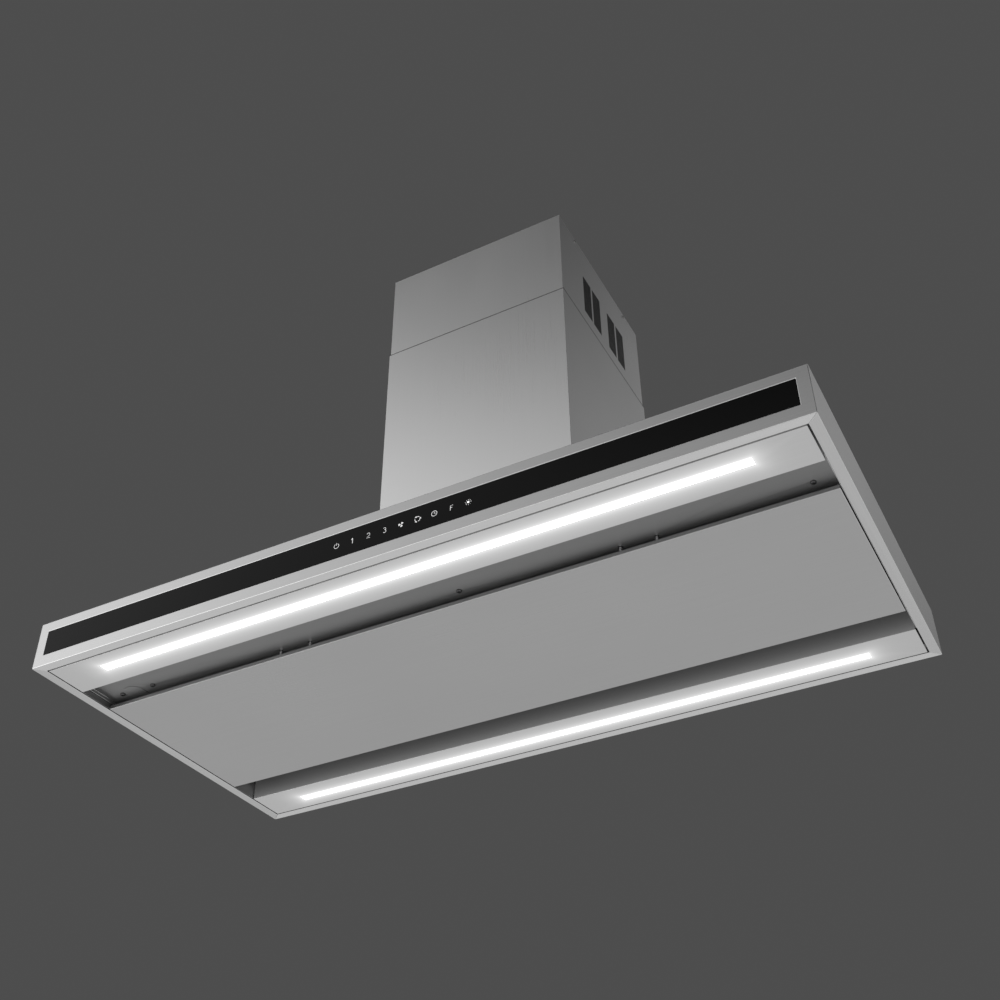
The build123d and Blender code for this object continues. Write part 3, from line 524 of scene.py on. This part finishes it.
# ---- light strips ------------------------------------------------------------------------------
front_strip_low, front_strip_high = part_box("front_diffuser")
rear_strip_low, rear_strip_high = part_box("rear_diffuser")
REBATE = 3 * mm
REBATE_DEPTH = 1.6 * mm
CROWN = 0.9 * mm
CROWN_STEPS = 10


def diffuser(name, node):
    """Opal strip with a shallow crown, rounded rims and a rebate that sits on the panel."""
    low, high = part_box(node)
    half_x = (high.x - low.x) / 2 - REBATE
    half_y = (high.y - low.y) / 2 - REBATE
    middle = (low + high) / 2
    shoulder = high.z - REBATE_DEPTH
    profile = []
    for index in range(CROWN_STEPS + 1):
        across = -1 + 2 * index / CROWN_STEPS
        drop = CROWN * (1 - across ** 4)
        profile.append((across * half_y, low.z + CROWN - drop))
    profile.append((half_y, shoulder))
    profile.append((half_y + REBATE, shoulder))
    profile.append((half_y + REBATE, high.z))
    profile.append((-half_y - REBATE, high.z))
    profile.append((-half_y - REBATE, shoulder))
    profile.append((-half_y, shoulder))
    bm = bmesh.new()
    rings = []
    for x in (-half_x, half_x):
        rings.append([(middle.x + x, middle.y + y, z) for y, z in profile])
    loft(bm, rings)
    smooth(piece(name, bm, opal_lit, "hood", (node,)))


# ---- symbols on the glass ----------------------------------------------------------------------
SYMBOL_PITCH = 25.5 * mm
SYMBOL_SCALE = 0.86
FIRST_SYMBOL = -61.8 * mm
SYMBOL_DROP = 0.4 * mm
INK = 0.12 * mm
LINE = 0.8 * mm
SOFT_SYMBOL_GLOW = 0.55
BRIGHT_SYMBOL_GLOW = 1.6
glass_face = glass_low.y
symbol_height = (glass_low.z + glass_high.z) / 2


def stroke(bm, points, width, closed=False):
    """Flat raised line on the glass through points (across, up)."""
    count = len(points)
    pairs = []
    for index, point in enumerate(points):
        before = points[index - 1] if index or closed else point
        after = points[(index + 1) % count] if index < count - 1 or closed else point
        along = Vector((after[0] - before[0], after[1] - before[1])).normalized()
        side = Vector((-along.y, along.x)) * width / 2
        pairs.append((Vector(point) + side, Vector(point) - side))
    spans = count if closed else count - 1
    for index in range(spans):
        near = pairs[index]
        far = pairs[(index + 1) % count]
        prism(bm, (near[0], near[1], far[1], far[0]))


def prism(bm, outline):
    """Outline on the glass raised by the thickness of the ink."""
    front = [bm.verts.new((p[0], -INK, p[1])) for p in outline]
    back = [bm.verts.new((p[0], 0, p[1])) for p in outline]
    bm.faces.new(front)
    bm.faces.new(list(reversed(back)))
    count = len(outline)
    for index in range(count):
        after = (index + 1) % count
        bm.faces.new((front[index], back[index], back[after], front[after]))


def arc(radius, start, end, steps=16, centre=(0, 0)):
    """Points of an arc between two angles in degrees."""
    points = []
    for index in range(steps + 1):
        angle = math.radians(start + (end - start) * index / steps)
        points.append((centre[0] + radius * math.cos(angle), centre[1] + radius * math.sin(angle)))
    return points


def power_symbol(bm):
    stroke(bm, arc(4.4 * mm, 120, 420, 24), LINE)
    stroke(bm, [(0, 1.2 * mm), (0, 5.4 * mm)], LINE)


def digit_one(bm):
    stroke(bm, [(-2.2 * mm, 2.6 * mm), (0.4 * mm, 4.6 * mm)], LINE)
    stroke(bm, [(0.4 * mm, 4.9 * mm), (0.4 * mm, -4.8 * mm)], LINE * 1.2)


def digit_two(bm):
    top = arc(2.6 * mm, 165, -35, 12, (0, 2.2 * mm))
    stroke(bm, top + [(-2.8 * mm, -4.4 * mm), (3.0 * mm, -4.4 * mm)], LINE)


def digit_three(bm):
    upper = arc(2.2 * mm, 150, -80, 12, (0, 2.4 * mm))
    lower = arc(2.6 * mm, 80, -150, 12, (0, -2.2 * mm))
    stroke(bm, upper, LINE)
    stroke(bm, lower, LINE)


def fan_symbol(bm):
    prism(bm, arc(1.0 * mm, 0, 324, 9))
    for blade in range(3):
        turn = Matrix.Rotation(math.radians(blade * 120 + 90), 2)
        outline = arc(2.0 * mm, 150, 390, 10, (0.6 * mm, 3.4 * mm))
        prism(bm, [turn @ Vector(point) for point in outline])


def cycle_symbol(bm):
    for side in range(3):
        turn = Matrix.Rotation(math.radians(side * 120 + 90), 2)
        bend = [turn @ Vector(point) for point in arc(4.6 * mm, -44, 30, 8)]
        stroke(bm, bend, LINE * 1.3)
        head = [(3.0 * mm, 2.2 * mm), (6.4 * mm, 2.2 * mm), (3.6 * mm, 5.0 * mm)]
        prism(bm, [turn @ Vector(point) for point in head])


def clock_symbol(bm):
    stroke(bm, arc(4.8 * mm, 0, 345, 23), LINE, closed=True)
    stroke(bm, [(0, 3.2 * mm), (0, 0), (2.4 * mm, 0)], LINE)


def filter_symbol(bm):
    """Letter of the filter reminder, leaning like the digits."""
    stroke(bm, [(-1.6 * mm, -4.6 * mm), (-1.2 * mm, 4.4 * mm), (3.0 * mm, 4.4 * mm)], LINE)
    stroke(bm, [(-1.4 * mm, 0.4 * mm), (1.8 * mm, 0.4 * mm)], LINE)


def lamp_symbol(bm):
    prism(bm, arc(1.7 * mm, 0, 345, 23))
    for ray in range(8):
        angle = math.radians(ray * 45)
        way = Vector((math.cos(angle), math.sin(angle)))
        stroke(bm, [way * 3.6 * mm, way * 5.4 * mm], LINE * 0.35)


SYMBOLS = {
    "symbol_power": power_symbol,
    "symbol_speed_1": digit_one,
    "symbol_speed_2": digit_two,
    "symbol_speed_3": digit_three,
    "symbol_fan": fan_symbol,
    "symbol_cycle": cycle_symbol,
    "symbol_timer": clock_symbol,
    "symbol_filter": filter_symbol,
    "symbol_light": lamp_symbol,
}


def add_symbols():
    for index, (name, draw) in enumerate(SYMBOLS.items()):
        bm = bmesh.new()
        draw(bm)
        x = body_middle.x + FIRST_SYMBOL + index * SYMBOL_PITCH
        place = Matrix.Translation((x, glass_face, symbol_height - SYMBOL_DROP))
        place = place @ Matrix.Diagonal((SYMBOL_SCALE, 1, SYMBOL_SCALE, 1))
        bmesh.ops.transform(bm, matrix=place, verts=bm.verts)
        lit = symbol_bright if name == "symbol_light" else symbol_soft
        piece(name, bm, lit, "hood")


# ---- materials of the CAD nodes ----------------------------------------------------------------
opal_lit = opal()
symbol_soft = symbol_light("symbol_paint_lit", SOFT_SYMBOL_GLOW)
symbol_bright = symbol_light("symbol_paint_bright", BRIGHT_SYMBOL_GLOW)
edge_bright = polished_edge_and_highlight()
steel_x = satin_steel("satin_steel_grain_x", 0)
panel_steel = satin_steel("satin_steel_panel", 0, PANEL_SHADE)
steel_y = satin_steel("satin_steel_grain_y", 1)
steel_z = satin_steel("satin_steel_grain_z", 2, FLUE_SHADE, FLUE_GRAIN)
fascia = fascia_steel()
blackened = dull_steel()
woven = vent_screen_mesh()
rebate = Vector((REBATE, REBATE, 0))
# Painted shade: the flue screws are the flue's satin steel drawn darker, so their domed heads show no
# glint against the shaded side of the flue.
SCREW_PAINTED_SHADE = 0.4
finishes = {
    "satin_steel": steel_x,
    "tray_steel": tray_steel(),
    "black_glass": black_glass(),
    "opal_diffuser": opal_lit,
    "galvanised": galvanised(),
    "aluminium": aluminium(),
    "zinc_steel": zinc_steel(),
    "black_plastic": moulded("black_moulding", grey(0.02), grey(0.035)),
    "grey_plastic": moulded("grey_moulding", (0.26, 0.27, 0.28), (0.34, 0.35, 0.36)),
    "circuit_board": circuit_board(),
    "cast_motor": cast_motor(),
    "lamination": lamination(),
}
special = {
    "suction_panel": panel_steel,
    "left_end": steel_y,
    "right_end": steel_y,
    "front_fascia": fascia,
    "rear_fascia": fascia,
    "lower_flue": steel_z,
    "flue_screws": satin_steel("satin_steel_screws_painted_shade", 2, SCREW_PAINTED_SHADE),
    # The studs take the rubbed-bright steel, lighter partly as a painted highlight.
    "panel_studs": edge_bright,
    "filter_frame_screws": blackened,
    "upper_flue": vented_steel(),
    "front_light_panel": lit_panel("lit_panel_front", front_strip_low + rebate,
                                   front_strip_high - rebate),
    "rear_light_panel": lit_panel("lit_panel_rear", rear_strip_low + rebate,
                                  rear_strip_high - rebate),
}


WELD_REACH = 0.01 * mm
FOLD_ANGLE = 50.0


def soften_edges(node, width):
    """Joins the imported facets and rounds the folds, with a rubbed-bright face on each that also
    carries a painted highlight.
    """
    made = frame["nodes"][node]
    weld = made.modifiers.new("join", "WELD")
    weld.merge_threshold = WELD_REACH
    fold = made.modifiers.new("fold", "BEVEL")
    fold.width = width
    fold.segments = 3
    fold.limit_method = "ANGLE"
    fold.angle_limit = math.radians(FOLD_ANGLE)
    fold.harden_normals = True
    fold.use_clamp_overlap = True
    # The fold faces take the second slot: rubbed-bright steel with a painted highlight.
    fold.material = 1


# Width of the rounded folds of each sheet part.
FOLDS = {
    "front_fascia": 0.8 * mm,
    "rear_fascia": 0.8 * mm,
    "left_end": 0.8 * mm,
    "right_end": 0.8 * mm,
    "front_light_panel": 0.5 * mm,
    "rear_light_panel": 0.5 * mm,
    "suction_panel": 0.5 * mm,
    "lower_flue": 0.4 * mm,
    "inner_tray": 0.4 * mm,
    "filter_frame": 0.4 * mm,
}


def paint_frame():
    """Gives every CAD node its material, and the sheet parts their folds."""
    for part in frame["record"]["subparts"]:
        node = part["node"]
        made = frame["nodes"][node]
        chosen = special.get(node, finishes[part["material_slot"]])
        made.data.materials.clear()
        made.data.materials.append(chosen)
        if node in FOLDS:
            made.data.materials.append(edge_bright)
            soften_edges(node, FOLDS[node])


# ---- flue trims --------------------------------------------------------------------------------
def block(bm, low, high):
    """Closed box between two corners."""
    bmesh.ops.create_cube(bm, size=1.0, matrix=Matrix.Translation((low + high) / 2)
                          @ Matrix.Diagonal((*(high - low), 1)))


# Dark strip that paints the shade line at the flue joint: its height, how far it stands proud, and how
# far it reaches in.
SHADE_STRIP_HEIGHT = 1.2 * mm
SHADE_STRIP_PROUD = 0.1 * mm
SHADE_STRIP_DEPTH = 0.9 * mm


def flue_joint_shade_strip():
    """Thin dark strip round the top edge of the lower flue: a painted shade line at its joint with the
    upper flue.
    """
    low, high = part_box("lower_flue")
    bm = bmesh.new()
    rings = []
    outer_low = Vector((low.x - SHADE_STRIP_PROUD, low.y - SHADE_STRIP_PROUD))
    outer_high = Vector((high.x + SHADE_STRIP_PROUD, high.y + SHADE_STRIP_PROUD))
    inner_low = Vector((low.x + SHADE_STRIP_DEPTH, low.y + SHADE_STRIP_DEPTH))
    inner_high = Vector((high.x - SHADE_STRIP_DEPTH, high.y - SHADE_STRIP_DEPTH))
    z_low, z_high = high.z - SHADE_STRIP_HEIGHT, high.z + SHADE_STRIP_PROUD
    for near, far, z in ((outer_low, outer_high, z_low), (outer_low, outer_high, z_high),
                         (inner_low, inner_high, z_high), (inner_low, inner_high, z_low)):
        ring = [(near.x, near.y, z), (far.x, near.y, z), (far.x, far.y, z), (near.x, far.y, z)]
        rings.append([bm.verts.new(point) for point in ring])
    for index, ring in enumerate(rings):
        after = rings[(index + 1) % len(rings)]
        for side in range(4):
            turn = (side + 1) % 4
            bm.faces.new((ring[side], ring[turn], after[turn], after[side]))
    piece("flue_joint_shade_strip", bm, finishes["black_plastic"], "lower_flue")


SCREEN_GAP = 1.1 * mm
SCREEN_SHEET = 0.4 * mm
SCREEN_HALF_HEIGHT = 46 * mm
SCREEN_HALF_WIDTH = 86 * mm


def vent_screens():
    """Woven screens close behind the vent slots on both sides of the upper flue, painted near-black as
    the shade seen through the slots.
    """
    low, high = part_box("upper_flue")
    middle_y = (low.y + high.y) / 2 + VENT_MIDDLE_Y
    middle_z = high.z - VENT_BELOW_TOP
    y_low, y_high = middle_y - SCREEN_HALF_WIDTH, middle_y + SCREEN_HALF_WIDTH
    z_low, z_high = middle_z - SCREEN_HALF_HEIGHT, middle_z + SCREEN_HALF_HEIGHT
    for name, wall, inward in (("left_vent_screen", low.x, 1), ("right_vent_screen", high.x, -1)):
        near = wall + inward * SCREEN_GAP
        far = near + inward * SCREEN_SHEET
        bm = bmesh.new()
        block(bm, Vector((min(near, far), y_low, z_low)), Vector((max(near, far), y_high, z_high)))
        piece(name, bm, woven, "hood")


paint_frame()
flue_joint_shade_strip()
vent_screens()
diffuser("front_light_strip", "front_diffuser")
diffuser("rear_light_strip", "rear_diffuser")
add_symbols()


# ---- stage -------------------------------------------------------------------------------------
FLOOR_DROP = 2.7
FLOOR_HALF = 14.0


def add_floor():
    """Plain pale floor far below, kept out of the steel's reflections."""
    bm = bmesh.new()
    corners = [(-1, -1), (1, -1), (1, 1), (-1, 1)]
    z = cad_box[1].z - FLOOR_DROP
    bm.faces.new([bm.verts.new((x * FLOOR_HALF, y * FLOOR_HALF, z)) for x, y in corners])
    mesh = bpy.data.meshes.new("floor")
    bm.to_mesh(mesh)
    bm.free()
    floor = bpy.data.objects.new("floor", mesh)
    bpy.context.scene.collection.objects.link(floor)
    graph = Graph("pale_floor")
    graph.set(colour=graph.tints(graph.noise(6.0), grey(0.52), grey(0.56)), roughness=0.7)
    mesh.materials.append(graph.material)
    floor.visible_glossy = False


BACKDROP = 0.075
# Level of the plain surround from straight down (0) to straight up (1).
BASE_LIGHT = [(0.0, 0.68), (0.38, 0.66), (0.6, 0.24), (0.75, 0.10), (1.0, 0.06)]
# Bright wall at the front left: its level, middle, side edge and upper fade.
WALL_LIGHT = 0.76
WALL_AZIMUTH = 62.0
WALL_EDGE = (0.0, 0.72)
WALL_FADE = (0.615, 0.73)
# Azimuth, elevation, tightness and strength of each soft light.
SOFT_LIGHTS = [
    (60.0, 22.0, 16.0, 0.9),
    (40.0, -8.0, 25.0, 1.9),
    (-162.0, 38.0, 90.0, 0.45),
    (-173.0, 29.0, 120.0, 0.12),
]


def add_world():
    """Soft studio: a broad light low on the left, dim above, and a plain backdrop."""
    world = bpy.data.worlds.new("studio")
    bpy.context.scene.world = world
    world.use_nodes = True
    tree = world.node_tree
    tree.nodes.clear()

    def node(kind, **settings):
        made = tree.nodes.new(kind)
        for key, value in settings.items():
            setattr(made, key, value)
        return made

    def calc(operation, first, second=0.0, third=0.0):
        made = node("ShaderNodeMath", operation=operation)
        for socket, value in zip(made.inputs, (first, second, third)):
            if isinstance(value, bpy.types.NodeSocket):
                tree.links.new(value, socket)
            else:
                socket.default_value = value
        return made.outputs[0]

    way = node("ShaderNodeTexCoord").outputs["Generated"]
    split = node("ShaderNodeSeparateXYZ")
    tree.links.new(way, split.inputs[0])
    height = split.outputs[2]

    def facing(azimuth, elevation):
        """Cosine between a direction and the view way; azimuth from -Y towards -X."""
        a, e = math.radians(azimuth), math.radians(elevation)
        towards = (-math.sin(a) * math.cos(e), -math.cos(a) * math.cos(e), math.sin(e))
        made = node("ShaderNodeVectorMath", operation="DOT_PRODUCT")
        tree.links.new(way, made.inputs[0])
        made.inputs[1].default_value = towards
        return made.outputs["Value"]

    def step(value, low, high, start, end):
        """Smooth change from low to high between two values."""
        made = node("ShaderNodeMapRange", interpolation_type="SMOOTHSTEP")
        tree.links.new(value, made.inputs["Value"])
        made.inputs["From Min"].default_value = start
        made.inputs["From Max"].default_value = end
        made.inputs["To Min"].default_value = low
        made.inputs["To Max"].default_value = high
        return made.outputs[0]

    ramp = node("ShaderNodeValToRGB")
    ramp.color_ramp.interpolation = "B_SPLINE"
    stops = ramp.color_ramp.elements
    for position, level in BASE_LIGHT[1:-1]:
        stops.new(position)
    for stop, (position, level) in zip(stops, BASE_LIGHT):
        stop.position = position
        stop.color = (level, level, level, 1)
    tree.links.new(calc("MULTIPLY_ADD", height, 0.5, 0.5), ramp.inputs["Fac"])
    floor_side = step(height, 0.0, 1.0, -0.1, 0.25)
    top_side = step(height, 1.0, 0.0, *WALL_FADE)
    wall = calc("MULTIPLY", calc("MULTIPLY", floor_side, top_side),
                step(facing(WALL_AZIMUTH, 0), 0.0, WALL_LIGHT, *WALL_EDGE))
    total = calc("ADD", ramp.outputs["Color"], wall)
    for azimuth, elevation, tightness, strength in SOFT_LIGHTS:
        ahead = calc("MAXIMUM", facing(azimuth, elevation), 0.0)
        total = calc("MULTIPLY_ADD", calc("POWER", ahead, tightness), strength, total)
    lit = node("ShaderNodeBackground")
    tree.links.new(total, lit.inputs["Strength"])
    plain = node("ShaderNodeBackground")
    plain.inputs["Color"].default_value = (*grey(BACKDROP), 1)
    mix = node("ShaderNodeMixShader")
    tree.links.new(node("ShaderNodeLightPath").outputs["Is Camera Ray"], mix.inputs[0])
    tree.links.new(lit.outputs[0], mix.inputs[1])
    tree.links.new(plain.outputs[0], mix.inputs[2])
    out = node("ShaderNodeOutputWorld")
    tree.links.new(mix.outputs[0], out.inputs[0])


# Turn to the right of straight ahead, tilt above level and roll of the camera, in degrees.
CAMERA_ANGLES = (27.92, 37.76, -0.41)
CAMERA_LENS = 46.76
# Place of the camera from the middle of the body's bottom face.
CAMERA_STAND = Vector((0.80023, -1.45907, -0.98634))


def add_camera():
    """Camera below and in front of the hood, to the right of its middle, looking up."""
    data = bpy.data.cameras.new("camera")
    data.sensor_width = 36.0
    data.lens = CAMERA_LENS
    camera = bpy.data.objects.new("camera", data)
    bpy.context.scene.collection.objects.link(camera)
    turn, tilt, roll = (math.radians(value) for value in CAMERA_ANGLES)
    ahead = Vector((-math.sin(turn) * math.cos(tilt), math.cos(turn) * math.cos(tilt), math.sin(tilt)))
    level = Vector((math.cos(turn), math.sin(turn), 0))
    over = level.cross(ahead)
    right = level * math.cos(roll) + over * math.sin(roll)
    up = over * math.cos(roll) - level * math.sin(roll)
    axes = Matrix((right, up, -ahead)).transposed()
    camera.matrix_world = Matrix.Translation(body_middle + CAMERA_STAND) @ axes.to_4x4()
    bpy.context.scene.camera = camera


add_floor()
add_world()
add_camera()
bpy.context.scene.view_settings.view_transform = "Standard"
